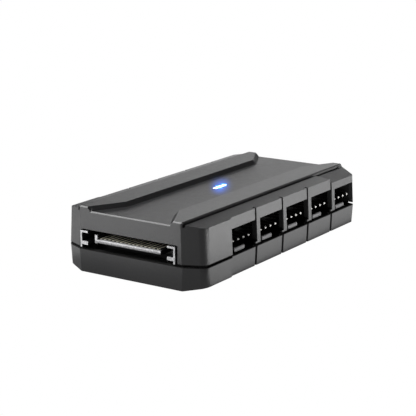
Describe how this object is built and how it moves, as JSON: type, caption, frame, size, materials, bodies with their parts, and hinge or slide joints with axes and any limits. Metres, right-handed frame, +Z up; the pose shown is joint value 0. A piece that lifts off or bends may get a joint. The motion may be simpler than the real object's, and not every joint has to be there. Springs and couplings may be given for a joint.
{
  "type": "pc fan controller hub",
  "caption": "Slim charcoal plastic hub that powers PC case fans: pin ports along both long sides, a SATA power plug at one end and a lit status slot on top.",
  "frame": {"origin": "on the underside, below the middle of the housing", "axes": "+Y along the housing away from the power plug, +X towards the fan ports on the right, +Z up"},
  "size_m": [0.0434, 0.0835, 0.0176],
  "materials": {
    "housing": "fine moulded texture, charcoal",
    "board": "black solder mask",
    "header_moulding": "black nylon",
    "plug_moulding": "black moulding, satin",
    "pins": "tin plated",
    "contacts": "gold plated",
    "light": "clear diffusing plastic, lit blue",
    "lamp": "blue lamp",
    "chip": "black epoxy",
    "capacitor_can": "plain can",
    "resistors": "glazed",
    "screws": "blackened steel"
  },
  "bodies": {
    "root": {"base_cover": "housing", "case_screws": "screws", "chip_resistors": "resistors", "circuit_board": "board", "fan_header_left_1": "header_moulding", "fan_header_left_2": "header_moulding", "fan_header_left_3": "header_moulding", "fan_header_left_4": "header_moulding", "fan_header_left_5": "header_moulding", "fan_header_right_1": "header_moulding", "fan_header_right_2": "header_moulding", "fan_header_right_3": "header_moulding", "fan_header_right_4": "header_moulding", "fan_header_right_5": "header_moulding", "fan_pins_left_1": "pins", "fan_pins_left_2": "pins", "fan_pins_left_3": "pins", "fan_pins_left_4": "pins", "fan_pins_left_5": "pins", "fan_pins_right_1": "pins", "fan_pins_right_2": "pins", "fan_pins_right_3": "pins", "fan_pins_right_4": "pins", "fan_pins_right_5": "pins", "filter_capacitor_far": "capacitor_can", "filter_capacitor_near": "capacitor_can", "light_pipe": "light", "sata_contacts": "contacts", "sata_plug_body": "plug_moulding", "signal_header": "header_moulding", "signal_pins": "pins", "speed_buffer_chip": "chip", "status_led": "lamp", "top_cover": "housing"}
  },
  "joints": []
}
